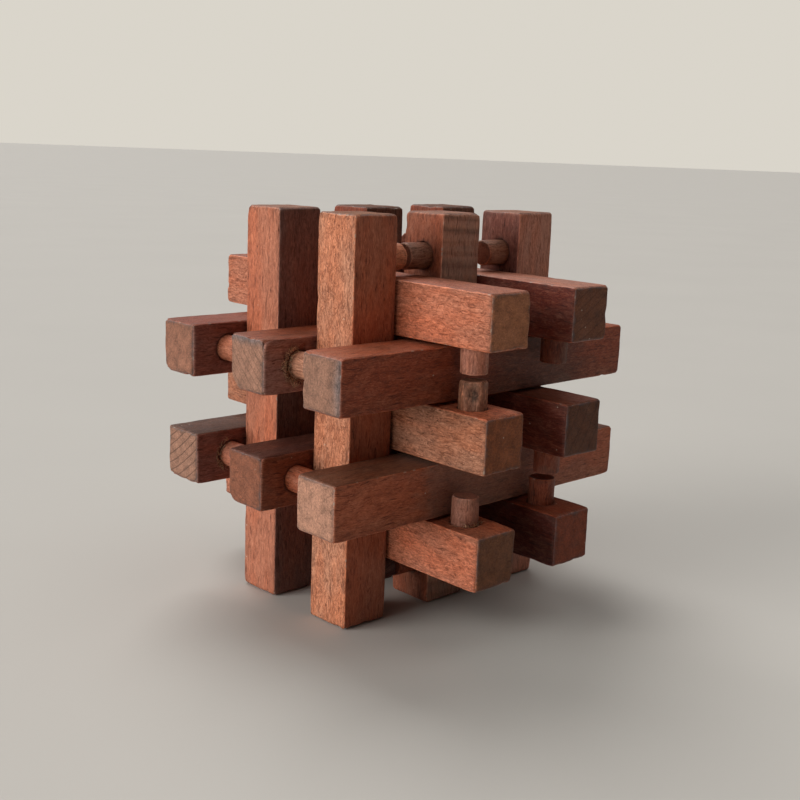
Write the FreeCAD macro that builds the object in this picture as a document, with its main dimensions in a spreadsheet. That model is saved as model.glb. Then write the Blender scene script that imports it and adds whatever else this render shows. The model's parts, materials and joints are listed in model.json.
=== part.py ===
import FreeCAD, Part
import Sketcher
import math
import os

# An interlocking wooden burr puzzle: eighteen square bars in three crossed sets of six.
#
# Frame: millimetres, +Z up.  The origin is the middle of the footprint, on the table.
# Front is -Y, left is -X.  Six uprights stand along Z, six rails lie along X and six
# crossbars lie along Y.  Bars sit on a grid whose step is half the pitch between
# parallel bars, so each set passes through the gaps of the other two.
#
# Short round pegs are glued into blind holes near the ends of the bars and reach half
# way across the gap to the next parallel bar.  They stop the bars they enclose from
# sliding out endways.  The two middle crossbars have a single peg at the front, so they
# are the keys: they pull out to the front first, and then the rest comes apart.

DIMENSIONS = {
    "bar_width": 10.0,  # side of the square section
    "bar_length": 75.0,
    "pitch": 21.0,  # between the centre lines of neighbouring parallel bars
    "edge_radius": 0.4,  # rounding of every edge of a bar
    "peg_diameter": 5.0,
    "peg_offset": 29.5,  # from the middle of the bar to the peg's centre line
    "peg_seat": 6.0,  # length of peg inside the bar
    "peg_chamfer": 0.4,
    "tip_gap": 0.5,  # from a peg's tip to the middle of the gap it reaches into
    "glue_gap": 0.03,  # between the peg and the wall of its hole, all round
    "glue_pocket": 0.5,  # from the peg's buried end to the bottom of its hole
    # How far each lying bar has been left off centre along its own length.
    "shift_lower_front_rail": -0.6,
    "shift_upper_front_rail": 0.1,
    "shift_lower_middle_rail": 0.2,
    "shift_upper_middle_rail": 0.5,
    "shift_lower_back_rail": 0.7,
    "shift_upper_back_rail": -0.1,
    "shift_bottom_left_crossbar": 0.0,
    "shift_bottom_right_crossbar": 0.0,
    "shift_left_key_bar": -0.5,
    "shift_right_key_bar": -0.8,
    "shift_top_left_crossbar": -0.4,
    "shift_top_right_crossbar": -0.8,
}

AXIS_NUMBER = {"x": 0, "y": 1, "z": 2}


def make_sheet(doc):
    """The spreadsheet of driving dimensions, one named cell a row."""
    sheet = doc.addObject("Spreadsheet::Sheet", "dims")
    for row, (alias, value) in enumerate(DIMENSIONS.items(), start=1):
        sheet.set(f"A{row}", alias)
        sheet.set(f"B{row}", str(value))
        sheet.setAlias(f"B{row}", alias)
    doc.recompute()
    return sheet


def origin_plane(body, role):
    """One of the body's own origin planes, such as XY_Plane."""
    return next(plane for plane in body.Origin.OriginFeatures if plane.Role == role)


def add_sketch(body, name, plane, height=None):
    """A sketch on an origin plane of the body, raised along the plane's normal by an expression."""
    sketch = body.newObject("Sketcher::SketchObject", name)
    sketch.AttachmentSupport = [(origin_plane(body, plane), "")]
    sketch.MapMode = "FlatFace"
    if height:
        sketch.setExpression("AttachmentOffset.Base.z", height)
    return sketch


def draw_square(sketch, side):
    """A square centred on the sketch's origin, with its side bound to an expression."""
    half = DIMENSIONS["bar_width"] / 2
    corners = [(-half, -half), (half, -half), (half, half), (-half, half)]
    points = [FreeCAD.Vector(across, up, 0) for across, up in corners]
    for number, point in enumerate(points):
        sketch.addGeometry(Part.LineSegment(point, points[(number + 1) % 4]), False)
    for number in range(4):
        sketch.addConstraint(Sketcher.Constraint("Coincident", number, 2, (number + 1) % 4, 1))
    for number, direction in enumerate(("Horizontal", "Vertical", "Horizontal", "Vertical")):
        sketch.addConstraint(Sketcher.Constraint(direction, number))
    sketch.addConstraint(Sketcher.Constraint("Symmetric", 0, 1, 2, 1, -1, 1))
    for number, direction in ((0, "DistanceX"), (1, "DistanceY")):
        constraint = sketch.addConstraint(Sketcher.Constraint(direction, number, 1, number, 2, 2 * half))
        sketch.setExpression(f"Constraints[{constraint}]", side)


def draw_circle(sketch, diameter, size, along=0.0, along_expression=None):
    """A circle on the sketch's horizontal axis, with its diameter and place bound to expressions."""
    centre = FreeCAD.Vector(along, 0, 0)
    circle = sketch.addGeometry(Part.Circle(centre, FreeCAD.Vector(0, 0, 1), size / 2), False)
    constraint = sketch.addConstraint(Sketcher.Constraint("Diameter", circle, size))
    sketch.setExpression(f"Constraints[{constraint}]", diameter)
    if along_expression is None:
        sketch.addConstraint(Sketcher.Constraint("Coincident", circle, 3, -1, 1))
        return
    sketch.addConstraint(Sketcher.Constraint("PointOnObject", circle, 3, -1))
    # A distance in a sketch is positive, so its two points swap places on the far side.
    near, far = ((-1, 1), (circle, 3)) if along > 0 else ((circle, 3), (-1, 1))
    constraint = sketch.addConstraint(Sketcher.Constraint("DistanceX", *near, *far, abs(along)))
    sketch.setExpression(f"Constraints[{constraint}]", along_expression)


def orientation(axis, peg_axis, peg_side):
    """Turns a body so that its X runs along the bar and its Z points the way the pegs stick out."""
    along = FreeCAD.Vector()
    along[AXIS_NUMBER[axis]] = 1
    outward = FreeCAD.Vector()
    outward[AXIS_NUMBER[peg_axis]] = peg_side
    return FreeCAD.Rotation(along, outward.cross(along), outward, "ZXY")


def place(body, rotation, terms):
    """Sets the body's placement, with each coordinate bound to the sum of its terms."""
    body.Placement = FreeCAD.Placement(FreeCAD.Vector(), rotation)
    for axis, parts in terms.items():
        body.setExpression(f"Placement.Base.{axis}", " + ".join(parts) or "0")


def bar_centre(bar):
    """The expressions that give the centre of a bar, as a list of terms for each axis."""
    terms = {axis: [f"{step} * dims.pitch / 2"] for axis, step in bar["steps"].items()}
    terms[bar["axis"]] = ["0"] if bar["axis"] == "z" else [f"dims.shift_{bar['name']}"]
    terms["z"].append("dims.bar_length / 2")
    return terms


def make_bar(doc, bar):
    """A square bar along its own X, with blind peg holes in its upper face."""
    body = doc.addObject("PartDesign::Body", bar["name"])
    body.Label = bar["name"]
    section = add_sketch(body, bar["name"] + "_section", "YZ_Plane")
    draw_square(section, "dims.bar_width")
    pad = body.newObject("PartDesign::Pad", bar["name"] + "_stick")
    pad.Profile = section
    pad.Midplane = True
    pad.setExpression("Length", "dims.bar_length")
    doc.recompute()
    rounding = body.newObject("PartDesign::Fillet", bar["name"] + "_rounding")
    rounding.Base = (pad, [f"Edge{number}" for number in range(1, len(pad.Shape.Edges) + 1)])
    rounding.setExpression("Radius", "dims.edge_radius")
    doc.recompute()
    solid_before = rounding.Shape.Volume
    holes = add_sketch(body, bar["name"] + "_hole_sketch", "XY_Plane", "dims.bar_width / 2")
    hole_size = DIMENSIONS["peg_diameter"] + 2 * DIMENSIONS["glue_gap"]
    for end in bar["peg_ends"]:
        draw_circle(
            holes,
            "dims.peg_diameter + 2 * dims.glue_gap",
            hole_size,
            end * DIMENSIONS["peg_offset"],
            "dims.peg_offset",
        )
    pocket = body.newObject("PartDesign::Pocket", bar["name"] + "_holes")
    pocket.Profile = holes
    pocket.Reversed = False
    pocket.setExpression("Length", "dims.peg_seat + dims.glue_pocket")
    body.Tip = pocket
    place(body, orientation(bar["axis"], bar["peg_axis"], bar["peg_side"]), bar_centre(bar))
    doc.recompute()
    hole_depth = DIMENSIONS["peg_seat"] + DIMENSIONS["glue_pocket"]
    expected = len(bar["peg_ends"]) * math.pi * (hole_size / 2) ** 2 * hole_depth
    removed = solid_before - body.Shape.Volume
    if abs(removed - expected) > 0.01 * expected:
        raise RuntimeError(f"{bar['name']}: the holes took {removed:.2f} mm3, not {expected:.2f}")
    return body


def make_peg(doc, bar, end, end_name):
    """A round peg along its own Z: its origin is on the bar's face and its lower part is buried."""
    name = f"{bar['name']}_{end_name}_peg"
    body = doc.addObject("PartDesign::Body", name)
    body.Label = name
    section = add_sketch(body, name + "_section", "XY_Plane", "-dims.peg_seat")
    draw_circle(section, "dims.peg_diameter", DIMENSIONS["peg_diameter"])
    pad = body.newObject("PartDesign::Pad", name + "_dowel")
    pad.Profile = section
    reach = "(dims.pitch - dims.bar_width) / 2 - dims.tip_gap"
    pad.setExpression("Length", f"dims.peg_seat + {reach}")
    doc.recompute()
    rims = [
        f"Edge{number}"
        for number, edge in enumerate(pad.Shape.Edges, start=1)
        if isinstance(edge.Curve, Part.Circle)
    ]
    chamfer = body.newObject("PartDesign::Chamfer", name + "_bevel")
    chamfer.Base = (pad, rims)
    chamfer.setExpression("Size", "dims.peg_chamfer")
    body.Tip = chamfer
    terms = bar_centre(bar)
    terms[bar["axis"]].append(f"{end} * dims.peg_offset")
    terms[bar["peg_axis"]].append(f"{bar['peg_side']} * dims.bar_width / 2")
    place(body, orientation(bar["axis"], bar["peg_axis"], bar["peg_side"]), terms)
    return body


def inward(step):
    """The side that an outer bar's pegs face: towards the middle of the puzzle."""
    return 1 if step < 0 else -1


def list_uprights():
    """The six bars that stand on the table, in a front row and a back row of three."""
    for row, row_step in (("front", -1), ("back", 1)):
        for column, column_step in (("left", -2), ("middle", 0), ("right", 2)):
            yield {
                "name": f"{row}_{column}_upright",
                "axis": "z",
                "steps": {"x": column_step, "y": row_step},
                "peg_axis": "x",
                "peg_side": inward(column_step),
                "peg_ends": {-1: "bottom", 1: "top"},
            }


def list_rails():
    """The six bars that run from left to right, three at each of two levels."""
    for level, level_step in (("lower", -1), ("upper", 1)):
        for row, row_step in (("front", -2), ("middle", 0), ("back", 2)):
            yield {
                "name": f"{level}_{row}_rail",
                "axis": "x",
                "steps": {"y": row_step, "z": level_step},
                "peg_axis": "y",
                "peg_side": inward(row_step),
                "peg_ends": {-1: "left", 1: "right"},
            }


def list_crossbars():
    """The six bars that run from front to back: four crossbars, and two keys with one peg each."""
    for side, side_step in (("left", -1), ("right", 1)):
        for level, level_step in (("bottom", -2), ("top", 2)):
            yield {
                "name": f"{level}_{side}_crossbar",
                "axis": "y",
                "steps": {"x": side_step, "z": level_step},
                "peg_axis": "z",
                "peg_side": inward(level_step),
                "peg_ends": {-1: "front", 1: "back"},
            }
        # The left key's peg points up and the right key's points down.
        yield {
            "name": f"{side}_key_bar",
            "axis": "y",
            "steps": {"x": side_step, "z": 0},
            "peg_axis": "z",
            "peg_side": inward(side_step),
            "peg_ends": {-1: "front"},
        }


def check(doc, bodies):
    """Stops if an object failed to compute or a piece is not one valid solid."""
    for item in doc.Objects:
        if "Invalid" in item.State or "Error" in item.State:
            raise RuntimeError(f"{item.Label} failed: {item.State}")
    for body in bodies:
        shape = body.Shape
        if shape.isNull() or not shape.isValid() or len(shape.Solids) != 1:
            raise RuntimeError(f"{body.Label} is not one valid solid")


def main():
    doc = FreeCAD.newDocument("burr_puzzle")
    make_sheet(doc)
    bodies = []
    for bar in [*list_uprights(), *list_rails(), *list_crossbars()]:
        bodies.append(make_bar(doc, bar))
        for end, end_name in bar["peg_ends"].items():
            bodies.append(make_peg(doc, bar, end, end_name))
    doc.recompute()
    check(doc, bodies)
    os.makedirs("parts", exist_ok=True)
    for body in bodies:
        body.Shape.exportStep(f"parts/{body.Label}.step")
    print(f"wrote {len(bodies)} pieces")


main()
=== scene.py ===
import json
import math
import random

import bpy
import numpy as np
from mathutils import Matrix, Vector


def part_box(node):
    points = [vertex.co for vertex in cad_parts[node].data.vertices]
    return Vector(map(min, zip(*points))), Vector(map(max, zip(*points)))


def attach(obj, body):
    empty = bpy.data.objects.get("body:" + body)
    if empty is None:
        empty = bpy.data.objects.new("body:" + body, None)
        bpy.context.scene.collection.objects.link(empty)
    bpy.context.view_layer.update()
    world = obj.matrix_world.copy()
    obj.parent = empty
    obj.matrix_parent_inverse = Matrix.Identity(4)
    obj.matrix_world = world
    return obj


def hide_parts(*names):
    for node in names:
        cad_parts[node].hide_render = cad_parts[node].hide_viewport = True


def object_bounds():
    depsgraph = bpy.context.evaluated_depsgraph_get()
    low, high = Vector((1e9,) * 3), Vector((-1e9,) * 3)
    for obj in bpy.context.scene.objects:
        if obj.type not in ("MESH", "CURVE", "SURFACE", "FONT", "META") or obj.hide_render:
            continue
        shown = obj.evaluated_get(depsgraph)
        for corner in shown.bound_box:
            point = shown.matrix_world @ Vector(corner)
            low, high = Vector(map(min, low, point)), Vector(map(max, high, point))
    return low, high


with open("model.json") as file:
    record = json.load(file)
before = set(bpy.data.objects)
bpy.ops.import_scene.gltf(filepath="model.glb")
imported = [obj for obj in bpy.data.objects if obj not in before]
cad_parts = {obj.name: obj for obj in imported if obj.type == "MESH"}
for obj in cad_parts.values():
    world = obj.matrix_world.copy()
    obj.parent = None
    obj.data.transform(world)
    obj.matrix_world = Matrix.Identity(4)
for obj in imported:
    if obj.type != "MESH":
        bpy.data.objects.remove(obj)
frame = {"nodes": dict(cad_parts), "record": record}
cad_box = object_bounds()

MM = 0.001

# Woods, as the colour of a clean flat surface. Every face of a bar has one of them, so they also carry
# painted light and shade: lighter woods where light falls, darker ones where shade falls, and the near-black
# one only as painted shadow.
WOODS = {
    "amber": (0.505, 0.2, 0.107),
    "peach": (0.485, 0.155, 0.08),
    "straw": (0.44, 0.225, 0.148),
    "chaff": (0.46, 0.33, 0.21),
    "ash": (0.17, 0.155, 0.16),
    "oat": (0.31, 0.158, 0.104),
    "clay": (0.3, 0.132, 0.081),
    "russet": (0.23, 0.08, 0.042),
    "rust": (0.35, 0.097, 0.045),
    "umber": (0.25, 0.054, 0.022),
    "plum": (0.212, 0.072, 0.052),
    "cocoa": (0.315, 0.138, 0.104),
    "maroon": (0.1, 0.018, 0.01),
    "shadow_black": (0.068, 0.007, 0.003),
    "ochre": (0.335, 0.126, 0.057),
    "olive": (0.222, 0.063, 0.021),
    "taupe": (0.15, 0.053, 0.026),
    "driftwood": (0.37, 0.17, 0.112),
    "rosewood": (0.45, 0.176, 0.112),
    "tan": (0.42, 0.19, 0.115),
}

# What lies on the wood or shows through its stain.
THIN_STAIN = (0.22, 0.13, 0.085)
BARE_WOOD = (0.55, 0.42, 0.32)
DUST = (0.21, 0.145, 0.115)
END_DIRT = (0.105, 0.10, 0.105)
EDGE_DIRT = (0.07, 0.035, 0.025)
HOLE_DIRT = (0.045, 0.020, 0.014)

# The relief of the grain, and the weak reflections of dry wood.
RELIEF_STRENGTH = 0.55
RELIEF_HEIGHT = 0.22 * MM
SPECULAR = 0.28

# Directions that name the faces of a bar: the world axis and the sign.
SIDES = {
    "left": (0, -1), "right": (0, 1),
    "front": (1, -1), "back": (1, 1),
    "bottom": (2, -1), "top": (2, 1),
}

# The wood of each bar, face by face, where it differs from a plain one; these face woods are partly the
# wood's own colour and partly painted light and shade, lighter on lit faces and darker on faces in shade.
# Lengths are in mm.
# all: the wood of the faces that aren't named.
# fleck: how strongly the short ray flecks show.
# film: how much grey dirt lies on it.
# ring and pith: the distance between growth rings, and the angle in degrees that they face.
# lines: how dark the growth rings are on its ends.
# smooth: the faces with hardly any flecks.
# chatter: the face, spacing and strength of the bands that the planer left.
# dust_and_shade: the middle, half length, tone and strength of a stretch under dust, whose darker tone on
# the upper front rail is painted shade.
# greyed: the end, the edge of it and the reach of weathered grey.
# blunt: each corner that is knocked off, as three faces that meet there and a size.
PLAIN_BAR = dict(all="umber", fleck=0.3, film=0.2, lines=0.2)
BARS = {
    "front_left_upright": dict(
        all="rust", left=("amber", 1.07), front=("rust", 1.1), top=("ochre", 0.75),
        fleck=1.0, film=0.1, ring=2.4, pith=100, smooth=("front",),
    ),
    "front_middle_upright": dict(
        all="rust", left=("rust", 0.93), front=("driftwood", 1.14), top="clay",
        film=0.3, ring=1.6, pith=20, chatter=("front", 2.2, 0.7), smooth=("front",),
    ),
    "front_right_upright": dict(
        all="rust", left=("plum", 0.83), front=("rosewood", 1.05), top="clay",
        ring=2.0, pith=200,
    ),
    "back_left_upright": dict(
        left=("peach", 0.98), front=("cocoa", 0.6), top="clay",
        film=0.1, ring=2.6, pith=310,
    ),
    "back_middle_upright": dict(
        front=("taupe", 0.88), top="taupe",
        fleck=0.5, ring=2.1, pith=80,
    ),
    "back_right_upright": dict(
        all="rust", left="umber", front="taupe", top="taupe",
        fleck=0.5, ring=1.9, pith=150,
    ),
    "lower_front_rail": dict(
        all="rust", left=("straw", 0.95), front=("rust", 1.06), top=("taupe", 1.13),
        fleck=0.5, film=0.15, ring=3.1, pith=60, dust_and_shade=(-3, 15.5, 0.86, 1.0),
    ),
    # The stretch right of its middle is under grey dust, and its darker tone there is painted shade.
    "upper_front_rail": dict(
        left=("oat", 0.9), top=("rust", 1.1),
        fleck=0.5, ring=2.8, pith=15, dust_and_shade=(10.5, 14.5, 0.55, 0.6), greyed=("left", "front", 1.3),
    ),
    "lower_middle_rail": dict(
        left="russet", front=("rust", 0.6), top=("plum", 0.55),
        ring=2.2, pith=120, blunt=[("left", "back", "bottom", 2.2)],
    ),
    "upper_middle_rail": dict(
        left="oat", front="cocoa", top=("rust", 0.79),
        ring=1.25, pith=135, lines=0.6, greyed=("left", "top", 1.0),
        blunt=[("left", "back", "bottom", 2.9), ("left", "front", "top", 1.3), ("left", "back", "top", 1.0)],
    ),
    "lower_back_rail": dict(
        left="oat", front="plum", top=("taupe", 0.72),
        film=0.3, ring=1.5, pith=55, lines=0.9, blunt=[("left", "back", "bottom", 1.6)],
    ),
    "upper_back_rail": dict(
        left=("clay", 0.94), front="plum", top=("umber", 1.04),
        ring=2.4, pith=35, blunt=[("left", "back", "bottom", 1.9), ("left", "back", "top", 1.1)],
    ),
    "bottom_left_crossbar": dict(
        all="rust", left=("peach", 1.06), front=("ochre", 0.53), top=("rust", 1.2),
        fleck=0.9, ring=2.2, pith=70,
    ),
    "bottom_right_crossbar": dict(
        # Its left face lies in the shadow of the bars to its left: the near-black wood there is painted
        # shadow.
        left="shadow_black", front=("umber", 0.83), top=("umber", 1.08),
        ring=2.0, pith=250,
    ),
    "top_left_crossbar": dict(
        all="rust", left=("peach", 1.03), front="ochre", top=("rust", 1.16),
        fleck=0.9, film=0.1, ring=2.7, pith=5,
    ),
    "top_right_crossbar": dict(
        # Its left face lies in the shadow of the top left crossbar: the dark maroon wood there is painted
        # shadow.
        left=("maroon", 1.28), front="taupe", top="rosewood",
        fleck=0.5, ring=1.8, pith=330, lines=0.5,
    ),
    "left_key_bar": dict(
        all="rust", left=("amber", 0.79), front="olive", top=("rust", 1.5),
        fleck=1.0, ring=2.9, pith=110,
    ),
    "right_key_bar": dict(
        # Its left face lies in the shadow of the bars to its left: the dark maroon wood there is painted
        # shadow.
        left=("maroon", 1.4), front=("taupe", 0.72), top=("umber", 0.88),
        fleck=0.4, ring=2.3, pith=300, lines=0.4,
    ),
}

# Pegs that don't look like the rest: their wood, radius in mm and wear, how far the bar's grain
# is torn out round them, and which one was whittled and has a knot.
PEGS = {
    "left_key_bar_front_peg": dict(wood=("tan", 0.88), radius=2.62, worn=1.0, knot=True),
    "top_left_crossbar_front_peg": dict(wood="rosewood", worn=0.2),
    "top_right_crossbar_front_peg": dict(wood=("umber", 0.55), worn=0.3),
    "right_key_bar_front_peg": dict(wood=("umber", 0.95), worn=0.3),
    "bottom_left_crossbar_front_peg": dict(wood=("rosewood", 0.84), worn=0.5, torn=0.6),
    "bottom_right_crossbar_front_peg": dict(wood="umber", worn=0.2),
    "upper_front_rail_left_peg": dict(wood="rust", worn=0.3),
    "upper_back_rail_left_peg": dict(wood="peach", worn=0.2),
    "upper_middle_rail_left_peg": dict(wood="straw", worn=1.0, torn=1.0),
    "lower_middle_rail_left_peg": dict(wood=("rust", 1.05), worn=0.3),
    "lower_front_rail_left_peg": dict(wood=("umber", 0.9), worn=0.3),
    "lower_back_rail_left_peg": dict(wood="rosewood", worn=0.5, torn=0.7),
    "front_left_upright_top_peg": dict(wood=("amber", 1.3), worn=0.2),
    "front_middle_upright_top_peg": dict(wood="clay", worn=0.3),
    "front_right_upright_top_peg": dict(wood=("clay", 1.1), worn=0.3),
    # This peg lies in deep shade under a crossbar: its near-black wood is painted shade.
    "front_left_upright_bottom_peg": dict(wood="shadow_black", worn=0.3),
    "front_middle_upright_bottom_peg": dict(wood="umber", worn=0.3),
}

SLOTS = {
    "upright": "upright_wood",
    "rail": "rail_wood",
    "crossbar": "crossbar_wood",
    "bar": "key_wood",
    "peg": "peg_wood",
}

# The four long sides of a bar, as the axis of its own frame that each one faces, and the sign.
LONG_SIDES = ((1, 1), (2, 1), (1, -1), (2, -1))

# Sizes in mm.
EDGE_RADIUS = 0.33
EDGE_ROWS = (0.26, 0.75)  # how far from an edge the finest rows of faces reach, and the fine ones
WINDOW = 3.75  # half the side of the square round each hole that has faces of its own
PEG_RADIUS = 2.5
HOLE_PLAY = 0.05
HOLE_MOUTH = 0.07  # how much wider a hole is at its mouth
HOLE_DEPTH = 6.5
PITH_DISTANCE = 42.0  # from a bar to the middle of the tree that it came from
FAR = 20.0  # stands for a distance that doesn't matter

# From a window's border to the hole's rim, and then down the hole, as depth and narrowing.
RIM_STEPS = (0.22, 0.42, 0.58, 0.71, 0.82, 0.91, 0.97, 1.0)
BORE_STEPS = ((0.15, 0.04), (0.6, 0.06), (2.2, HOLE_MOUTH), (HOLE_DEPTH, HOLE_MOUTH))


# ---- numbers


def noise(points, seed):
    """Smooth noise from 0 to 1 at each point, the same on every run."""
    cell = np.floor(points).astype(np.int64)
    step = points - cell
    step = step * step * (3 - 2 * step)
    total = np.zeros(len(points))
    for corner in np.ndindex(2, 2, 2):
        at = cell + corner
        mixed = at[:, 0] * 73856093 ^ at[:, 1] * 19349663 ^ at[:, 2] * 83492791 ^ (seed * 40503 + 977)
        mixed = (mixed ^ (mixed >> 13)) * 1274126177
        mixed = (mixed ^ (mixed >> 16)) & 0xFFFFFF
        weight = np.prod(np.where(corner, step, 1 - step), axis=1)
        total += weight * mixed / 0xFFFFFF
    return total


def layered(points, seed, layers=3):
    """Noise with finer noise on top of it, from 0 to 1."""
    total, size, span = 0.0, 1.0, 0.0
    for layer in range(layers):
        total = total + size * noise(points * 2.03**layer, seed + 31 * layer)
        span += size
        size *= 0.55
    return total / span


def rise(value, low, high):
    """0 below low, 1 above high, and smooth between them."""
    t = np.clip((value - low) / (high - low), 0, 1)
    return t * t * (3 - 2 * t)


def wood_colour(choice):
    """A wood's colour. The choice is its name, or its name and how much lighter it is than usual."""
    name, lighter = (choice, 1.0) if isinstance(choice, str) else choice
    return np.array(WOODS[name]) * lighter


def blob(points, spot, reach):
    """1 at the spot, and smoothly less round it."""
    return np.exp(-(((points - spot) / reach) ** 2).sum(axis=1))


def box_mm(node):
    """The lowest and the highest corner of a CAD node, in mm."""
    return [np.array(corner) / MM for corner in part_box(node)]


def pegs_of(bar):
    return sorted(n for n in frame["nodes"] if n.startswith(bar + "_") and n.endswith("_peg"))


def peg_place(peg, bar):
    """Where a peg starts and where it leaves its bar, the way it points, and the bar's direction."""
    low, high = box_mm(peg)
    bar_low, bar_high = box_mm(bar)
    along = np.eye(3)[np.argmax(bar_high - bar_low)]
    offset = (low + high - bar_low - bar_high) / 2 * (1 - along)
    axis = int(np.argmax(abs(offset)))
    out = np.eye(3)[axis] * np.sign(offset[axis])
    start, face = (low + high) / 2, (low + high) / 2
    start[axis], face[axis] = (low[axis], bar_high[axis]) if out[axis] > 0 else (high[axis], bar_low[axis])
    return start, face, out, along


def in_tree(points, seed):
    """Where the points lie in the grain, which is another place for each piece."""
    return points + np.array([seed * 1.37, seed * 0.71, seed * 0.43])


# ---- bars


class Mesh:
    """Points in a piece's own frame in mm, with X along its grain, and what its material reads."""

    def __init__(self, points, faces, seed=0):
        self.points, self.faces = points, faces
        self.grain = in_tree(points, seed)
        self.wear, self.look, self.tone = None, None, None
        self.lines = PLAIN_BAR["lines"]

    def build(self, name, turn, place, material):
        """Makes the object. The columns of turn are its axes, and place is its origin in mm."""
        mesh = bpy.data.meshes.new(name)
        mesh.from_pydata((self.points @ turn.T + place) * MM, [], self.faces)
        for label, values in (("grain", self.grain), ("wear", self.wear), ("look", self.look)):
            layer = mesh.attributes.new(label, "FLOAT_VECTOR", "POINT")
            layer.data.foreach_set("vector", np.asarray(values, dtype=np.float32).ravel())
        layer = mesh.attributes.new("tone", "FLOAT_COLOR", "POINT")
        colours = np.concatenate([self.tone, np.full((len(self.tone), 1), self.lines)], axis=1)
        layer.data.foreach_set("color", np.asarray(colours, dtype=np.float32).ravel())
        mesh.polygons.foreach_set("use_smooth", [True] * len(mesh.polygons))
        mesh.set_sharp_from_angle(angle=math.radians(50))
        mesh.materials.append(material)
        obj = bpy.data.objects.new(name, mesh)
        bpy.context.collection.objects.link(obj)
        return obj


def spaced(*pieces):
    """Rising numbers: each piece is (start, stop, count), and the next one carries on from its stop."""
    numbers = [np.linspace(a, b, n, endpoint=False) for a, b, n in pieces]
    return np.concatenate([*numbers, [pieces[-1][1]]])


def edged(half, *pieces):
    """Rising numbers from -half to half, close together near both."""
    near, far = EDGE_ROWS
    start = [(-half, -half + near, 2), (-half + near, -half + far, 4)]
    stop = [(-q, -p, n) for p, q, n in reversed(start)]
    return spaced(*start, *pieces, *stop)


def side_point(side, half, s, t, depth=0.0):
    """The point at s along the bar and t across one of its four sides."""
    w = half - depth
    return {0: (s, w, t), 1: (s, -t, w), 2: (s, -w, -t), 3: (s, t, -w)}[side]


def bar_grid(length, width, holes):
    """The points and faces of a square bar with blind holes, in its own frame in mm.

    holes is a list of (side, place along the bar, radius). Also returned: how deep inside a hole
    each point lies.
    """
    a, b = length / 2, width / 2
    hold = max(abs(place) for side, place, radius in holes)
    fine = EDGE_ROWS[-1]
    across = edged(b, (-b + fine, -WINDOW, 1), (-WINDOW, WINDOW, 15), (WINDOW, b - fine, 1))
    along = edged(
        a,
        (-a + fine, -hold - WINDOW, 6),
        (-hold - WINDOW, -hold + WINDOW, 15),
        (-hold + WINDOW, hold - WINDOW, 74),
        (hold - WINDOW, hold + WINDOW, 15),
        (hold + WINDOW, a - fine, 6),
    )
    k = len(across) - 1
    n = 4 * k
    # The long sides are rings of points, less a square window round each hole.
    points, faces = [], []
    for s in along:
        for side in range(4):
            for t in across[:-1]:
                points.append(side_point(side, b, s, t))
    gone_faces, gone_points, loops = set(), set(), []
    for side, place, radius in holes:
        i0 = int(np.argmin(abs(along - (place - WINDOW))))
        i1 = int(np.argmin(abs(along - (place + WINDOW))))
        k0 = int(np.argmin(abs(across + WINDOW)))
        k1 = int(np.argmin(abs(across - WINDOW)))
        for i in range(i0, i1):
            for j in range(k0, k1):
                gone_faces.add((i, side * k + j))
                if i > i0 and j > k0:
                    gone_points.add(i * n + side * k + j)
        loop = [(i0, j) for j in range(k0, k1)] + [(i, k1) for i in range(i0, i1)]
        loop += [(i1, j) for j in range(k1, k0, -1)] + [(i, k0) for i in range(i1, i0, -1)]
        loops.append((side, place, radius, loop))
    for i in range(len(along) - 1):
        for j in range(n):
            if (i, j) not in gone_faces:
                m = (j + 1) % n
                faces.append((i * n + j, i * n + m, (i + 1) * n + m, (i + 1) * n + j))
    # The ends are square grids that share the first and the last ring.
    for last in (False, True):
        start = (len(along) - 1) * n if last else 0
        cap = {}
        for u in range(k + 1):
            for v in range(k + 1):
                if u == k:
                    cap[u, v] = start + v
                elif v == k:
                    cap[u, v] = start + 2 * k - u
                elif u == 0:
                    cap[u, v] = start + 3 * k - v
                elif v == 0:
                    cap[u, v] = start + 3 * k + u
                else:
                    cap[u, v] = len(points)
                    points.append((a if last else -a, across[u], across[v]))
        for u in range(k):
            for v in range(k):
                quad = (cap[u, v], cap[u + 1, v], cap[u + 1, v + 1], cap[u, v + 1])
                faces.append(quad if last else quad[::-1])
    # Rings of faces lead from each window to its hole's rim, and down to the bottom.
    inside = {}
    for side, place, radius, loop in loops:
        ring = [i * n + (side * k + j) % n for i, j in loop]
        offsets = [(along[i] - place, across[j]) for i, j in loop]
        for f in RIM_STEPS:
            fresh = []
            for ds, dt in offsets:
                size = math.hypot(ds, dt)
                scale = (1 - f) + f * radius / size
                fresh.append(len(points))
                points.append(side_point(side, b, place + ds * scale, dt * scale))
            faces += ring_faces(ring, fresh)
            ring = fresh
        for depth, narrowing in BORE_STEPS:
            fresh = []
            for ds, dt in offsets:
                scale = (radius - narrowing) / math.hypot(ds, dt)
                inside[len(points)] = depth
                fresh.append(len(points))
                points.append(side_point(side, b, place + ds * scale, dt * scale, depth))
            faces += ring_faces(ring, fresh)
            ring = fresh
        middle = len(points)
        inside[middle] = HOLE_DEPTH
        points.append(side_point(side, b, place, 0, HOLE_DEPTH))
        faces += [(ring[i], ring[(i + 1) % len(ring)], middle) for i in range(len(ring))]
    kept = [i for i in range(len(points)) if i not in gone_points]
    number = {old: new for new, old in enumerate(kept)}
    depth = np.array([inside.get(i, 0.0) for i in kept])
    return np.array(points)[kept], [tuple(number[v] for v in f) for f in faces], depth


def ring_faces(outer, inner):
    """The faces between two closed rings of as many points."""
    count = len(outer)
    return [
        (outer[i], outer[(i + 1) % count], inner[(i + 1) % count], inner[i]) for i in range(count)
    ]


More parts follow.
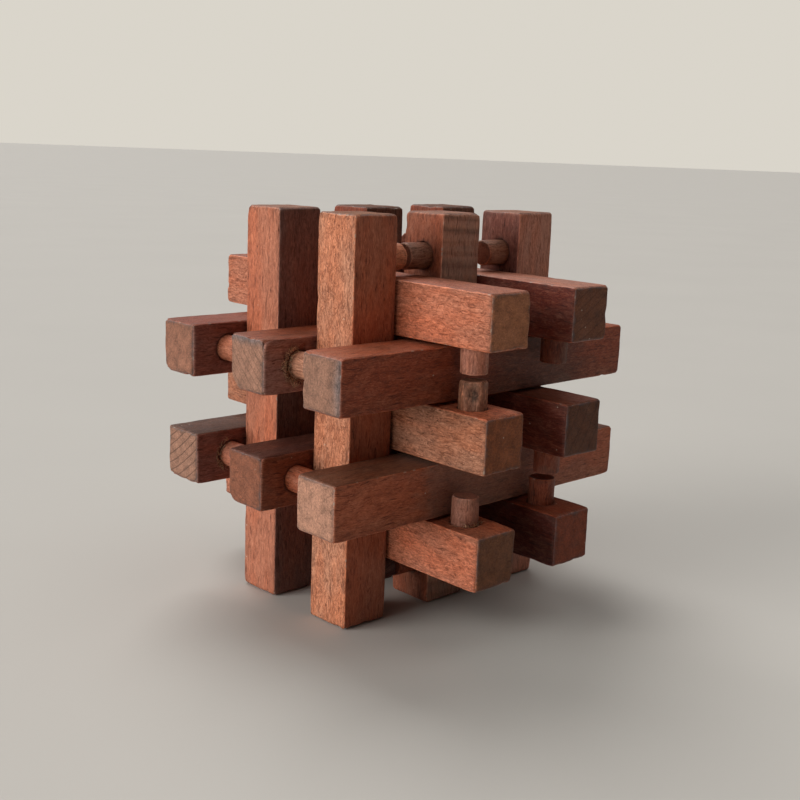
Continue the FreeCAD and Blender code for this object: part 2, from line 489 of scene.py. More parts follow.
def hole_distance(points, half, holes):
    """How far each point is from the axis of the nearest hole on its own side."""
    nearest = np.full(len(points), FAR)
    for side, place, radius in holes:
        axis, sign = LONG_SIDES[side]
        across = 3 - axis
        level = points[:, axis] * sign
        distance = np.hypot(points[:, 0] - place, points[:, across])
        nearest = np.where(level > half - HOLE_DEPTH - 0.1, np.minimum(nearest, distance), nearest)
        nearest = np.where((level < half - 0.01) & (distance > radius + 0.5), FAR, nearest)
    return nearest


def worn(points, half, holes, torn, blunt, draw, seed):
    """Rounds, dents and roughens a bar's surface, and moves no point outwards.

    Returns the new points, the direction that each one faces, and the distance to the next edge.
    """
    shift = np.array([seed * 7.3, seed * 3.1, seed * 1.7])
    gap = half - abs(points)
    edge = np.sort(gap, axis=1)[:, 1]
    to_end = half[0] - abs(points[:, 0])
    radius = EDGE_RADIUS * (0.75 + 0.9 * layered(points * (0.22, 0.6, 0.6) + shift, seed))
    radius = radius + 0.45 * np.exp(-((to_end / 1.3) ** 2)) * (0.3 + noise(points * 0.4 + shift, seed + 5))
    radius = np.clip(radius, 0.2, 1.1)[:, None]
    inner = np.clip(points, -(half - radius), half - radius)
    facing = points - inner
    facing /= np.linalg.norm(facing, axis=1)[:, None]
    out = inner + facing * radius
    # Soft hollows left by hand sanding, and finer unevenness along the grain.
    hollow = 0.07 * layered(points * (0.06, 0.2, 0.2) + shift, seed + 11, 2)
    rough = 0.035 * layered(points * (0.45, 1.7, 1.7) + shift, seed + 17, 2)
    sawn = 0.05 * abs(facing[:, 0]) * layered(points * (1, 1.9, 1.1) + shift, seed + 23, 3)
    dip = hollow + rough + sawn
    # Chips and bruises on the edges, longer along the grain.
    for _ in range(draw.randint(9, 14)):
        sign_y, sign_z = draw.choice((-1, 1)), draw.choice((-1, 1))
        spot = np.array([draw.uniform(-half[0], half[0]), sign_y * half[1], sign_z * half[2]])
        reach = [draw.uniform(*limits) for limits in ((0.5, 1.8), (0.3, 0.7), (0.3, 0.7))]
        dip = dip + draw.uniform(0.08, 0.24) * blob(points, spot, reach)
    for _ in range(draw.randint(5, 9)):
        end, axis = draw.choice((-1, 1)), draw.choice((1, 2))
        spot = np.array([end * half[0], 0.0, 0.0])
        spot[axis] = draw.choice((-1, 1)) * half[axis]
        spot[3 - axis] = draw.uniform(-half[1], half[1])
        reach = [draw.uniform(*limits) for limits in ((0.4, 1.1), (0.4, 1.0), (0.4, 1.0))]
        dip = dip + draw.uniform(0.12, 0.34) * blob(points, spot, reach)
    out = out - facing * dip[:, None]
    # Corners that have been knocked off: flat facets across three faces.
    slope, push = np.array([0.8, 1.0, 1.0]), np.array([0.45, 0.96, 0.96])
    for signs, size in blunt:
        short = size - (half - points * signs) @ slope
        short = short + 0.35 * (noise(points * 1.5 + shift, seed + 61) - 0.5)
        out -= np.maximum(short, 0)[:, None] / (slope @ push) * push * signs
    # Grain torn out round a hole: ragged streaks that start at its rim.
    for (side, place, size), strength in zip(holes, torn):
        axis, sign = LONG_SIDES[side]
        across = 3 - axis
        on_side = points[:, axis] * sign > half[axis] - 0.01
        along, over = points[:, 0] - place, points[:, across]
        angle = np.arctan2(over, along)
        ring = np.stack([2.2 * np.cos(angle), 2.2 * np.sin(angle), 0 * angle + seed + side], axis=1)
        ragged = layered(ring * 1.6, seed + 41, 2)
        reach = size + (0.15 + 1.5 * strength) * rise(ragged, 0.35, 0.85)
        depth = (0.06 + 0.34 * strength) * rise(reach - np.hypot(along, over), -0.1, 0.5)
        out[:, axis] -= np.where(on_side, sign * depth, 0)
    return out, facing, edge


def paint_bar(mesh, style, facing, surface, half, order, seed):
    """Gives a bar's mesh the wood of each face, which also holds painted light and shade, its rings, and
    what the years left on it.

    order is the world axis of each of the bar's own axes.
    """
    points = mesh.points
    towards = {}
    for label, (world_axis, sign) in SIDES.items():
        towards[label] = np.clip(facing[:, order.index(world_axis)] * sign, 0, 1) ** 3
    # The woods, with the painted light and shade that they carry face by face, are mixed over the rounded
    # edges.
    tone = sum(w[:, None] * wood_colour(style.get(label, style["all"])) for label, w in towards.items())
    tone = tone / sum(towards.values())[:, None]
    tone[~surface] = WOODS["maroon"]
    fleck = np.full(len(points), style["fleck"])
    film = np.full(len(points), style["film"])
    pith = math.radians(style["pith"])
    from_pith = points[:, 1:] - PITH_DISTANCE * np.array([math.cos(pith), math.sin(pith)])
    ring = np.hypot(from_pith[:, 0], from_pith[:, 1]) / style["ring"]
    if "dust_and_shade" in style:
        # A stretch that hands seldom rub, under a layer of dust. Its tone is darkened too, and on the upper
        # front rail that darkening is painted shade.
        place, reach, lighter, strength = style["dust_and_shade"]
        ragged = 2.5 * (layered(points * 0.5, seed + 71, 2) - 0.5)
        there = np.exp(-(((points[:, 0] - place + ragged) / reach) ** 8))
        film = film + strength * there
        tone = tone * (1 + (lighter - 1) * there)[:, None]
    if "chatter" in style:
        # Bands that the planer left across one face.
        label, period, strength = style["chatter"]
        wavering = 0.8 * layered(points * (0.4, 0.04, 0.04), seed + 51, 2)
        wavering = wavering + points[:, 0] + 0.06 * points[:, 1]
        bands = np.sin(2 * math.pi * wavering / period)
        fine_bands = layered(wavering[:, None] * (0.9, 0.0, 0.0), seed, 2) - 0.5
        bands_shade = strength * (0.5 * bands + 0.9 * fine_bands)
        tone = tone * (1 + bands_shade * towards[label])[:, None]
        film = film + (0.35 + 0.55 * rise(bands, -0.2, 0.8)) * towards[label]
    for label in style.get("smooth", ()):
        fleck *= 1 - 0.85 * towards[label]
    if "greyed" in style:
        # One end is weathered grey beside an edge.
        end, edge, reach = style["greyed"]
        world_axis, sign = SIDES[edge]
        column = order.index(world_axis)
        gap = half[column] - points[:, column] * sign
        gap = gap + 1.2 * (layered(points * 0.6, seed + 81, 2) - 0.5)
        grey = (0.75 * towards[end] * np.exp(-((np.maximum(gap, 0) / reach) ** 2)))[:, None]
        tone = tone * (1 - grey) + wood_colour("ash") * grey
    mesh.tone = tone
    mesh.look = np.stack([fleck, film, ring], axis=1)
    mesh.lines = style["lines"]


def make_bar(node, style):
    """A worn, drilled square bar in place of the CAD node of that name."""
    low, high = box_mm(node)
    size, centre = high - low, (high + low) / 2
    axis = int(np.argmax(size))
    order = [axis, (axis + 1) % 3, (axis + 2) % 3]
    half = size[order] / 2
    draw = random.Random(node)
    seed = draw.randint(1, 400)
    holes, torn = [], []
    for peg in pegs_of(node):
        start, _, out, _ = peg_place(peg, node)
        direction = int(np.argmax(abs(out[order])))
        side = LONG_SIDES.index((direction, int(out[order][direction])))
        wanted = PEGS.get(peg, {})
        radius = wanted.get("radius", PEG_RADIUS) + HOLE_PLAY + HOLE_MOUTH
        holes.append((side, float(round((start - centre)[axis], 3)), radius))
        torn.append(wanted.get("torn", draw.uniform(0.0, 0.25)))
    blunt = []
    for *labels, cut in style.get("blunt", ()):
        signs = {order.index(SIDES[label][0]): SIDES[label][1] for label in labels}
        blunt.append(((signs[0], signs[1], signs[2]), cut))
    points, faces, depth = bar_grid(2 * half[0], 2 * half[1], holes)
    surface = depth == 0
    placed, facing = points.copy(), np.zeros_like(points)
    facing[~surface, 1] = 1.0
    edge = np.full(len(points), FAR)
    placed[surface], facing[surface], edge[surface] = worn(
        points[surface], half, holes, torn, blunt, draw, seed
    )
    mesh = Mesh(points, faces, seed)
    distance = hole_distance(points, half[1], holes)
    mesh.wear = np.stack([edge, distance, abs(facing[:, 0])], axis=1)
    paint_bar(mesh, style, facing, surface, half, order, seed)
    mesh.points = placed
    kind = SLOTS[node.split("_")[-1]]
    obj = mesh.build(node + "_wood", np.eye(3)[:, order], centre, materials[kind])
    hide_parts(node)
    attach(obj, body_of_node[node])


# ---- pegs


def make_peg(node, bar):
    """A turned dowel with lengthwise grooves and a worn rim in place of a CAD peg."""
    start, _, out, _ = peg_place(node, bar)
    low, high = box_mm(node)
    length = float((high - low) @ abs(out))
    style = PEGS.get(node, {})
    draw = random.Random(node)
    seed = draw.randint(1, 400)
    radius = style.get("radius", PEG_RADIUS)
    wear = style.get("worn", draw.uniform(0.1, 0.6))
    segments = 72
    bevel = 0.28 + 0.25 * wear
    stops = list(spaced((0.0, 0.4, 1), (0.4, 6.0, 5), (6.0, length - bevel - 0.15, 22)))
    profile = [(s, radius) for s in stops]
    for turn in (20, 45, 70, 90):
        angle = math.radians(turn)
        profile.append((length - bevel * (1 - math.sin(angle)), radius - bevel * (1 - math.cos(angle))))
    flat = profile[-1][1]
    profile += [(length, flat * f) for f in (0.82, 0.6, 0.38, 0.18)]
    profile.insert(0, (0.0, radius - 0.3))
    points = []
    for s, r in profile:
        for i in range(segments):
            angle = 2 * math.pi * i / segments
            points.append((s, r * math.cos(angle), r * math.sin(angle)))
    points = np.array(points)
    tip, foot = len(points), len(points) + 1
    points = np.concatenate([points, [(length, 0, 0), (0, 0, 0)]])
    rings = [list(range(i * segments, (i + 1) * segments)) for i in range(len(profile))]
    faces = []
    for near, far in zip(rings, rings[1:]):
        faces += ring_faces(near, far)
    faces += [(rings[-1][i], rings[-1][(i + 1) % segments], tip) for i in range(segments)]
    faces += [(rings[0][(i + 1) % segments], rings[0][i], foot) for i in range(segments)]
    reach = np.hypot(points[:, 1], points[:, 2])
    outward = points * (0, 1, 1) / np.maximum(reach, 1e-6)[:, None]
    shift = np.array([seed * 5.1, seed * 2.3, seed * 0.9])
    grooves = 0.07 * layered(outward * 5.5 + points * (0.05, 0, 0) + shift, seed, 3)
    bruises = 0.16 * (0.3 + wear) * rise(layered(points * (0.35, 0.7, 0.7) + shift, seed + 3, 2), 0.55, 0.9)
    near_tip = np.exp(-(((length - points[:, 0]) / 1.1) ** 2))
    bitten = 0.5 * wear * near_tip * rise(noise(outward * 1.3 + shift, seed + 7), 0.55, 0.95)
    side_share = rise(reach, flat * 0.75, radius)
    placed = points - outward * ((grooves + bruises + bitten) * side_share)[:, None]
    on_tip = points[:, 0] > length - bevel - 0.01
    rough = 0.12 * layered(points * (1, 1.4, 1.4) + shift, seed + 13, 3) + 0.25 * bitten
    placed[:, 0] -= np.where(on_tip, rough, 0)
    mesh = Mesh(points, faces, seed)
    mesh.points = placed
    edge = np.where(reach > flat + 0.01, length - points[:, 0], radius - reach)
    facing_tip = np.where(points[:, 0] > length - 0.02, 1.0, 0.0)
    wood = wood_colour(style.get("wood", draw.choice(("clay", "rosewood", "russet", "rust"))))
    mesh.tone = np.tile(wood, (len(points), 1)) * (1 - 0.15 * facing_tip[:, None])
    if style.get("knot"):
        # It was whittled to fit, so its sides are a little flat, and there is a knot near the tip.
        for turn in (20, 88, 150, 222, 291):
            facet = np.array([0.0, math.cos(math.radians(turn)), math.sin(math.radians(turn))])
            excess = np.maximum(placed @ facet - 0.90 * radius, 0) * side_share
            placed -= excess[:, None] * facet
        spot = np.array([length - 2.4, -0.7 * radius, -0.71 * radius])
        away = np.linalg.norm((points - spot) * (0.8, 1, 1), axis=1)
        placed -= outward * 0.30 * np.exp(-(away**2))[:, None]
        uneven = layered(points * (2.2, 2.6, 2.6), seed + 19, 3)
        streaks = layered(points * (1.5, 2.4, 2.4), seed + 23, 3)
        mesh.tone *= (1 - 0.85 * np.exp(-((away / 1.15) ** 4)) * rise(uneven, 0.25, 0.6))[:, None]
        mesh.tone *= (0.72 + 0.9 * rise(streaks, 0.45, 0.8))[:, None]
    mesh.wear = np.stack([edge, np.full(len(points), FAR), facing_tip], axis=1)
    fleck = np.full(len(points), 0.5)
    film = np.full(len(points), 0.2 + 0.4 * draw.random())
    mesh.look = np.stack([fleck, film, points[:, 1] / 1.1 + 20], axis=1)
    over = np.roll(abs(out), 1)
    turn = np.stack([out, over, np.cross(out, over)], axis=1)
    obj = mesh.build(node + "_wood", turn, start, materials["peg_wood"])
    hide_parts(node)
    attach(obj, body_of_node[node])


def make_torn_fibres(peg, bar, count, reach, pale_share):
    """Thin curled fibres that stand up round the hole where a peg tore the bar's face."""
    _, face, out, grain = peg_place(peg, bar)
    over = np.cross(out, grain)
    draw = random.Random(peg + " fibres")
    kind = SLOTS[bar.split("_")[-1]]
    points, faces, tones = [], [], []
    steps = 7
    climbing_share = 0.35
    for _ in range(count):
        # Most of them lie on the side away from the middle of the bar, and below.
        angle = math.pi * 1.05 + max(-1.45, min(1.45, draw.gauss(0, 0.75)))
        climbing = draw.random() < climbing_share
        start = draw.uniform(2.5, 2.6) if climbing else draw.uniform(2.6, 3.0)
        length = draw.uniform(0.15, 0.4) if climbing else draw.uniform(0.3, 1.0) * reach
        lift = draw.uniform(0.3, 0.9) * reach if climbing else draw.uniform(0.05, 0.4) * reach
        bend = draw.uniform(-1.3, 1.3)
        width = draw.uniform(0.05, 0.12)
        if draw.random() < pale_share:
            tone = wood_colour((draw.choice(("chaff", "chaff", "straw")), draw.uniform(0.8, 2.1)))
        else:
            tone = wood_colour(("maroon", draw.uniform(0.3, 0.9)))
        base = len(points)
        for step in range(steps + 1):
            t = step / steps
            distance = start + length * t
            turned = angle + bend * 0.5 * t * t
            away = grain * math.cos(turned) + over * math.sin(turned)
            aside = over * math.cos(turned) - grain * math.sin(turned)
            middle = face + away * distance + out * (lift * math.sin(math.pi * 0.62 * t) - 0.12)
            thick = width * (1 - 0.8 * t)
            for side, up in ((1, 0), (0, 1), (-1, 0), (0, -1)):
                points.append(middle + (aside * side + (out * 0.6 + away * 0.4) * up) * thick)
                tones.append(tone)
        for step in range(steps):
            near = base + 4 * step
            faces += ring_faces(list(range(near, near + 4)), list(range(near + 4, near + 8)))
        faces.append((base + 3, base + 2, base + 1, base))
        faces.append(tuple(base + 4 * steps + i for i in range(4)))
    mesh = Mesh(np.array(points), faces)
    mesh.tone = np.array(tones)
    mesh.wear = np.tile((FAR, FAR, 0.0), (len(points), 1))
    mesh.look = np.tile((0.2, 0.0, 0.5), (len(points), 1))
    obj = mesh.build(peg.replace("_peg", "_torn_fibres"), np.eye(3), np.zeros(3), materials[kind])
    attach(obj, body_of_node[bar])


# ---- materials


class Shader:
    """A node material, written as expressions."""

    def __init__(self, name):
        self.material = bpy.data.materials.new(name)
        self.material.use_nodes = True
        self.tree = self.material.node_tree
        self.tree.nodes.clear()

    def node(self, kind, settings=(), **inputs):
        """A new node. In the names of inputs, an underscore stands for a space."""
        made = self.tree.nodes.new("ShaderNode" + kind)
        for key, value in dict(settings).items():
            setattr(made, key, value)
        for key, value in inputs.items():
            self.plug(made.inputs[key.replace("_", " ")], value)
        return made

    def plug(self, socket, value):
        if isinstance(value, bpy.types.NodeSocket):
            self.tree.links.new(value, socket)
        else:
            socket.default_value = value

    def attribute(self, name, output):
        return self.node("Attribute", {"attribute_name": name}).outputs[output]

    def math(self, operation, first, second=0.0):
        made = self.node("Math", {"operation": operation})
        self.plug(made.inputs[0], first)
        self.plug(made.inputs[1], second)
        return made.outputs[0]

    def times(self, first, second):
        return self.math("MULTIPLY", first, second)

    def plus(self, first, second):
        return self.math("ADD", first, second)

    def less(self, first, second):
        return self.math("SUBTRACT", first, second)

    def total(self, value, *parts):
        """value plus part times amount, for each (part, amount)."""
        for part, amount in parts:
            value = self.plus(value, self.times(part, amount))
        return value

    def vary(self, value, *parts):
        """The same with noises, each of them taken as round zero."""
        return self.total(value, *((self.less(part, 0.5), amount) for part, amount in parts))

    def dim(self, value, *parts):
        """value less a share of it, which is mask times amount, for each (mask, amount)."""
        for mask, amount in parts:
            value = self.times(value, self.less(1.0, self.times(mask, amount)))
        return value

    def add(self, first, second):
        return self.vector("ADD", first, second)

    def scale(self, first, second):
        return self.vector("MULTIPLY", first, second)

    def vector(self, operation, first, second):
        made = self.node("VectorMath", {"operation": operation})
        self.plug(made.inputs[0], first)
        self.plug(made.inputs[1], second)
        return made.outputs[0]

    def join(self, x, y, z):
        return self.node("CombineXYZ", X=x, Y=y, Z=z).outputs[0]

    def split(self, value):
        return self.node("SeparateXYZ", Vector=value).outputs

    def span(self, value, low, high, start=0.0, end=1.0):
        """value from low to high, eased, as start to end."""
        settings = {"interpolation_type": "SMOOTHSTEP"}
        limits = dict(From_Min=low, From_Max=high, To_Min=start, To_Max=end)
        return self.node("MapRange", settings, Value=value, **limits).outputs[0]

    def fade(self, value, low, high):
        """1 below low, 0 above high, and eased between them."""
        return self.span(value, low, high, 1.0, 0.0)

    def thread(self, noise, width):
        """A thin line that winds along where the noise is at its middle."""
        return self.fade(self.math("ABSOLUTE", self.less(noise, 0.5)), 0.0, width)

    def noise(self, vector, scale, detail=3.0, roughness=0.55, output="Fac"):
        stretched = self.scale(vector, scale)
        limits = dict(Scale=1.0, Detail=detail, Roughness=roughness)
        return self.node("TexNoise", Vector=stretched, **limits).outputs[output]

    def drift(self, vector, scale, detail):
        """Three noises round zero, which lead a place astray."""
        return self.vector("SUBTRACT", self.noise(vector, scale, detail, output="Color"), (0.5, 0.5, 0.5))

    def cells(self, vector, scale, feature="F1"):
        stretched = self.scale(vector, scale)
        return self.node("TexVoronoi", {"feature": feature}, Vector=stretched, Scale=1.0)

    def spots(self, vector, scale, reach, part=0, chosen=None):
        """A spot in each cell, or where that part of a cell's random colour rises through chosen.

        reach is how far a spot is solid, and where it ends.
        """
        cells = self.cells(vector, scale)
        spot = self.fade(cells.outputs["Distance"], *reach)
        if chosen is None:
            return spot
        return self.times(spot, self.span(self.split(cells.outputs["Color"])[part], *chosen))

    def mix(self, amount, first, second):
        made = self.node("Mix", {"data_type": "RGBA"})
        self.plug(made.inputs[0], amount)
        self.plug(made.inputs[6], first)
        self.plug(made.inputs[7], second)
        return made.outputs[2]

    def shade(self, colour, amount):
        """colour times amount, which is one number at each place."""
        return self.scale(colour, self.join(amount, amount, amount))


def colour(*rgb):
    return (*rgb, 1.0)


def wood_material(name, fleck_scale=1.0):
    """Old stained beech. It reads the place in the grain and the wear that each mesh carries.

    The scales of the noises and cells are per mm, with the grain along the first of the three.
    """
    s = Shader(name)
    grain = s.attribute("grain", "Vector")
    edge, hole, end = s.split(s.attribute("wear", "Vector"))
    fleck_share, film_share, ring = s.split(s.attribute("look", "Vector"))
    tone = s.attribute("tone", "Color")
    lines = s.attribute("tone", "Alpha")

    # The grain wanders a little to each side.
    wander = s.drift(grain, (0.16, 0.3, 0.3), 2.0)
    grain_bent = s.add(grain, s.scale(wander, (0.0, 1.6, 1.6)))
    wobble = s.drift(grain, (0.75, 0.9, 0.9), 1.0)
    grain_wavy = s.add(grain_bent, s.scale(wobble, (0.0, 1.6, 1.6)))

    # Fibres, short strokes, pores and ray flecks on the long faces.
    fibre = s.noise(grain_bent, (0.30, 2.6, 2.6), 6.0, 0.72)
    fine = s.noise(grain_bent, (1.1, 8.0, 8.0), 3.0, 0.65)
    curl = s.noise(s.add(grain_wavy, (3.0, 11.0, 29.0)), (0.72, 2.4, 2.4), 2.0, 0.5)
    curl_line = s.thread(curl, 0.040)
    curl_line = s.times(curl_line, s.span(s.noise(grain, (0.5, 0.9, 0.9), 2.0), 0.40, 0.56))
    reed = s.noise(s.add(grain_bent, (9.0, 2.0, 55.0)), (0.20, 2.7, 2.7), 2.0, 0.5)
    reed_line = s.thread(reed, 0.045)
    reed_line = s.times(reed_line, s.span(s.noise(grain, (0.35, 1.3, 1.3), 2.0), 0.42, 0.56))
    satin = s.noise(s.add(grain_wavy, (31.0, 7.0, 2.0)), (0.62, 2.5, 2.5), 3.0, 0.6)
    satin = s.span(satin, 0.36, 0.64)
    dash = s.span(s.noise(grain_bent, (0.24, 3.0, 3.0), 2.0, 0.5), 0.61, 0.68)
    pore = s.span(s.noise(grain_bent, (0.42, 6.0, 6.0), 2.0, 0.5), 0.57, 0.72)
    dark_scale = [size * fleck_scale for size in (0.62, 2.9, 2.9)]
    dark_fleck = s.spots(grain_wavy, dark_scale, (0.14, 0.48), 0, (0.18, 0.42))
    dark_fleck = s.times(dark_fleck, fleck_share)
    light_grain = s.add(grain_wavy, (17.3, 5.1, 9.7))
    light_scale = [size * fleck_scale for size in (0.85, 2.7, 2.7)]
    light_fleck = s.spots(light_grain, light_scale, (0.12, 0.5), 1, (0.30, 0.6))
    light_fleck = s.times(light_fleck, fleck_share)

    # Growth rings, seen as faint bands on the long faces and as lines on the ends.
    ring_bent = s.plus(ring, s.times(s.split(wander)[1], 0.22))
    saw = s.math("FRACT", ring_bent)
    ring_line = s.times(s.span(saw, 0.74, 0.94), s.fade(saw, 0.94, 1.0))
    band = s.span(saw, 0.1, 0.95)

    stain = s.noise(grain, (0.05, 0.16, 0.16), 3.0, 0.6)
    blotch = s.noise(s.add(grain, (40.0, 8.0, 3.0)), (0.16, 0.35, 0.35), 4.0, 0.62)

    satin_share = s.plus(0.12, s.times(fleck_share, 0.40))
    dash_share = s.less(0.62, s.times(fleck_share, 0.22))
    curl_share = s.times(fleck_share, 0.55)
    light = s.vary(1.10, (fibre, 1.3), (fine, 1.2), (blotch, 0.5), (satin, satin_share))
    light = s.total(light, (band, -0.06))
    light = s.dim(light, (pore, 0.25), (dash, dash_share), (dark_fleck, 0.26))
    light = s.dim(light, (reed_line, 0.30), (curl_line, curl_share))
    light = s.math("MAXIMUM", s.total(light, (light_fleck, 0.20)), 0.12)
    # What is lighter than usual gets paler too, because there the stain is thin.
    over = s.math("MAXIMUM", s.less(light, 1.0), 0.0)
    side = s.shade(tone, s.less(light, s.times(over, 0.55)))
    side = s.add(side, s.shade(THIN_STAIN, s.times(over, 0.75)))
    # What is darker than usual gets redder, because there it lies deeper.
    under = s.math("MAXIMUM", s.less(1.0, light), 0.0)
    redder = s.join(1.0, s.less(1.0, s.times(under, 0.28)), s.less(1.0, s.times(under, 0.45)))
    side = s.scale(side, redder)
    warm = s.scale(side, (1.07, 0.96, 0.88))
    cool = s.scale(side, (0.94, 1.02, 1.08))
    side = s.mix(s.span(stain, 0.38, 0.62), warm, cool)
    film = s.times(s.span(blotch, 0.46, 0.66), film_share)
    dust = s.span(s.vary(film_share, (fine, 0.5)), 0.6, 1.2)
    film = s.math("MAXIMUM", film, s.times(dust, 0.85))
    film_shade = s.plus(0.35, s.times(fine, 1.1))
    side = s.mix(s.times(film, 0.5), side, s.shade(DUST, film_shade))

    # The ends: open pores, rings and rays, with dirt in them.
    flat = s.scale(grain, (0.0, 1.0, 1.0))
    dots = s.spots(flat, (1.0, 4.2, 4.2), (0.10, 0.42))
    crack_grain = s.add(flat, s.scale(wobble, (0.0, 0.9, 0.9)))
    crack_cells = s.cells(crack_grain, (1.0, 0.75, 0.75), "DISTANCE_TO_EDGE")
    crack = s.fade(crack_cells.outputs["Distance"], 0.0, 0.05)
    crack = s.times(crack, s.span(s.noise(flat, (1.0, 0.5, 0.5), 2.0), 0.42, 0.6))
    end_blotch = s.noise(s.add(flat, (3.0, 9.0, 30.0)), (1.0, 0.45, 0.45), 5.0, 0.65)
    end_fine = s.noise(flat, (1.0, 2.8, 2.8), 4.0, 0.75)
    end_light = s.vary(1.06, (end_blotch, 1.6), (end_fine, 2.0))
    end_light = s.dim(end_light, (dots, 0.25), (ring_line, s.times(lines, 0.6)), (crack, 0.30))
    turned = s.node("VectorRotate", {"rotation_type": "X_AXIS"}, Vector=flat, Angle=0.9)
    scratch_grain = s.add(turned.outputs[0], (4.0, 50.0, 9.0))
    scratch = s.thread(s.noise(scratch_grain, (1.0, 0.22, 3.0), 1.0), 0.03)
    scratch = s.times(scratch, s.span(s.noise(flat, (1.0, 0.35, 0.35), 1.0), 0.50, 0.62))
    end_light = s.math("MAXIMUM", s.total(end_light, (scratch, 0.35)), 0.15)
    end_side = s.shade(tone, end_light)
    rim_dirt = s.fade(s.plus(edge, s.times(end_blotch, 2.2)), 0.9, 1.9)
    end_side = s.mix(s.times(rim_dirt, 0.65), end_side, colour(*END_DIRT))
    end_share = s.span(s.vary(end, (fine, 0.3)), 0.5, 0.8)
    body = s.mix(end_share, side, end_side)

    # Worn edges are paler, partly as bare wood and partly as a painted highlight along them, with a thread
    # of dirt beside them. Holes have a dark rim.
    edge_noise = s.noise(grain, (0.35, 1.1, 1.1), 4.0, 0.7)
    worn_edge_highlight = s.fade(s.vary(edge, (edge_noise, 1.1)), -0.06, 0.25)
    dirt = s.times(s.span(edge, 0.2, 0.5), s.fade(edge, 0.5, 1.5))
    dirt = s.times(dirt, s.span(edge_noise, 0.42, 0.62))
    body = s.mix(s.times(dirt, 0.35), body, colour(*EDGE_DIRT))
    pale = s.scale(body, (1.5, 1.5, 1.5))
    pale = s.add(pale, s.scale(tone, (0.22, 0.30, 0.36)))
    body = s.mix(worn_edge_highlight, body, pale)
    chip_grain = s.add(grain, (8.0, 3.0, 70.0))
    chip = s.spots(chip_grain, (0.85, 0.9, 0.9), (0.20, 0.36), 0, (0.55, 0.60))
    chip = s.times(chip, s.fade(edge, 0.08, 0.34))
    chip_tone = s.add(s.scale(tone, (0.6, 1.1, 1.5)), (0.20, 0.17, 0.14))
    body = s.mix(s.times(chip, 0.85), body, chip_tone)
    rim = s.fade(s.vary(hole, (edge_noise, 1.4)), 2.5, 3.3)
    body = s.mix(s.times(rim, 0.72), body, colour(*HOLE_DIRT))

    # A few tiny pale specks where the stain is chipped off.
    speck_grain = s.add(grain, (2.0, 60.0, 4.0))
    speck = s.spots(speck_grain, (0.55, 0.7, 0.7), (0.06, 0.12), 2, (0.93, 0.94))
    body = s.mix(s.times(speck, 0.8), body, colour(*BARE_WOOD))

    # The relief, and how rough each place is.
    height = s.total(
        s.times(satin, s.times(fleck_share, 0.45)),
        (fibre, 0.55),
        (fine, 0.30),
        (pore, -0.30),
        (dark_fleck, -0.35),
        (light_fleck, 0.12),
        (reed_line, -0.20),
        (curl_line, -0.20),
    )
    end_height = s.times(s.times(ring_line, lines), -0.5)
    end_height = s.total(end_height, (end_fine, 1.1), (dots, -0.25), (crack, -0.5))
    height = s.plus(s.times(height, s.less(1.0, end_share)), s.times(end_height, end_share))
    bump = s.node("Bump", Height=height, Strength=RELIEF_STRENGTH, Distance=RELIEF_HEIGHT)
    rough = s.vary(0.50, (blotch, 0.35))
    rough = s.total(rough, (end_share, 0.16), (film, 0.12), (worn_edge_highlight, -0.06))

    surface = s.node("BsdfPrincipled", Base_Color=body, Roughness=rough, Normal=bump.outputs[0])
    surface.inputs["Specular IOR Level"].default_value = SPECULAR
    s.node("OutputMaterial", Surface=surface.outputs[0])
    return s.material


# ---- stage, light and camera


def make_floor():
    """A plain pale floor, which isn't part of the object."""
    mesh = bpy.data.meshes.new("floor")
    reach, level = 40.0, -0.04 * MM
    mesh.from_pydata(
        [(-reach, -reach, level), (reach, -reach, level), (reach, reach, level), (-reach, reach, level)],
        [],
        [(0, 1, 2, 3)],
    )
    obj = bpy.data.objects.new("floor", mesh)
    bpy.context.collection.objects.link(obj)
    s = Shader("floor_paint")
    place = s.node("TexCoord").outputs["Object"]
    grey = s.noise(place, (9.0, 9.0, 9.0), 3.0)
    paint = s.mix(grey, colour(0.54, 0.52, 0.485), colour(0.58, 0.56, 0.52))
    surface = s.node("BsdfPrincipled", Base_Color=paint)
    surface.inputs["Roughness"].default_value = 0.8
    s.node("OutputMaterial", Surface=surface.outputs[0])
    mesh.materials.append(s.material)


def make_sun(name, azimuth, elevation, spread, strength, tint=(1.0, 0.98, 0.96)):
    """A soft light from far away. Azimuth 0 is +X and 90 is +Y, and spread is how wide it looks."""
    data = bpy.data.lights.new(name, "SUN")
    data.energy = strength
    data.angle = math.radians(spread)
    data.color = tint
    obj = bpy.data.objects.new(name, data)
    bpy.context.collection.objects.link(obj)
    a, e = math.radians(azimuth), math.radians(elevation)
    back = Vector((math.cos(a) * math.cos(e), math.sin(a) * math.cos(e), math.sin(e)))
    obj.rotation_mode = "QUATERNION"
    obj.rotation_quaternion = (-back).to_track_quat("-Z", "Y")


def make_world():
    """A pale background that gives only a little light of its own."""
    world = bpy.data.worlds.new("studio")
    bpy.context.scene.world = world
    world.use_nodes = True
    tree = world.node_tree
    output = next(node for node in tree.nodes if node.type == "OUTPUT_WORLD")
    seen, glow, path, blend = (
        tree.nodes.new("ShaderNode" + kind)
        for kind in ("Background", "Background", "LightPath", "MixShader")
    )
    seen.inputs[0].default_value = colour(0.70, 0.665, 0.595)
    glow.inputs[0].default_value = colour(0.05, 0.048, 0.045)
    tree.links.new(path.outputs["Is Camera Ray"], blend.inputs[0])
    tree.links.new(glow.outputs[0], blend.inputs[1])
    tree.links.new(seen.outputs[0], blend.inputs[2])
    tree.links.new(blend.outputs[0], output.inputs[0])


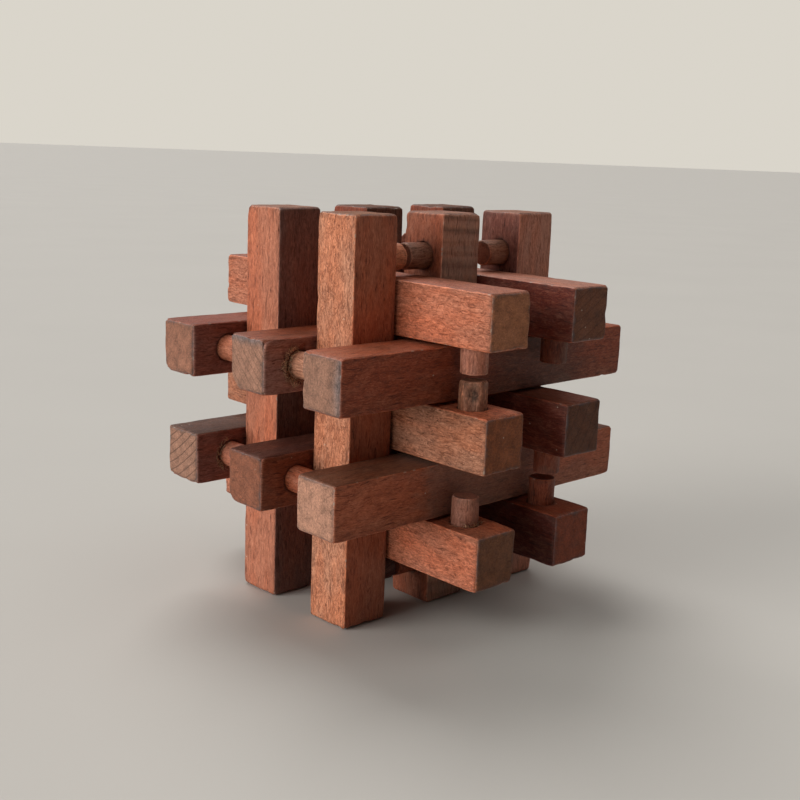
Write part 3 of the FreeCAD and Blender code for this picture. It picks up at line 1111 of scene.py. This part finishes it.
def make_camera():
    """The photograph's viewing angle: from the front left corner, a little above, slightly rolled."""
    azimuth, elevation, roll = math.radians(46.48), math.radians(12.03), math.radians(2.16)
    distance, aim_right, aim_up = 0.2275, 0.00049, -0.00033
    lens = 51.264
    middle = Vector((0, 0, cad_box[1][2] / 2))
    level = Vector((-math.cos(azimuth), -math.sin(azimuth), 0))
    back = level * math.cos(elevation) + Vector((0, 0, math.sin(elevation)))
    place = middle + back * distance
    right = (-back).cross(Vector((0, 0, 1))).normalized()
    up = right.cross(-back)
    ahead = (middle + right * aim_right + up * aim_up - place).normalized()
    right = ahead.cross(Vector((0, 0, 1))).normalized()
    up = right.cross(ahead)
    rolled_right = right * math.cos(roll) + up * math.sin(roll)
    rolled_up = up * math.cos(roll) - right * math.sin(roll)
    data = bpy.data.cameras.new("camera")
    data.sensor_width = 36.0
    data.lens = lens
    data.clip_start, data.clip_end = 0.01, 100.0
    obj = bpy.data.objects.new("camera", data)
    bpy.context.collection.objects.link(obj)
    turn = Matrix((rolled_right, rolled_up, -ahead)).transposed().to_4x4()
    obj.matrix_world = Matrix.Translation(place) @ turn
    bpy.context.scene.camera = obj


# ---- the whole


body_of_node = {}
for body, nodes in frame["record"]["behaviour"]["bodies"].items():
    for node_name in nodes:
        body_of_node[node_name] = body

FLECK_SCALES = {"peg_wood": 1.3}
materials = {slot: wood_material(slot, FLECK_SCALES.get(slot, 1.0)) for slot in SLOTS.values()}

for bar_name, bar_style in BARS.items():
    make_bar(bar_name, {**PLAIN_BAR, **bar_style})
    for peg_name in pegs_of(bar_name):
        make_peg(peg_name, bar_name)

make_torn_fibres("upper_middle_rail_left_peg", "upper_middle_rail", 260, 1.5, 0.78)
make_torn_fibres("lower_back_rail_left_peg", "lower_back_rail", 120, 1.0, 0.8)
make_torn_fibres("bottom_left_crossbar_front_peg", "bottom_left_crossbar", 45, 0.9, 0.9)

make_floor()
make_sun("key_light", 163, 9, 48, 3.3, (1.0, 0.98, 0.95))
make_sun("top_light", 70, 52, 40, 1.9)
make_sun("front_fill", 330, 60, 50, 0.45)
make_sun("left_fill", 180, 52, 50, 0.38)
make_world()
make_camera()
bpy.context.scene.view_settings.view_transform = "Standard"
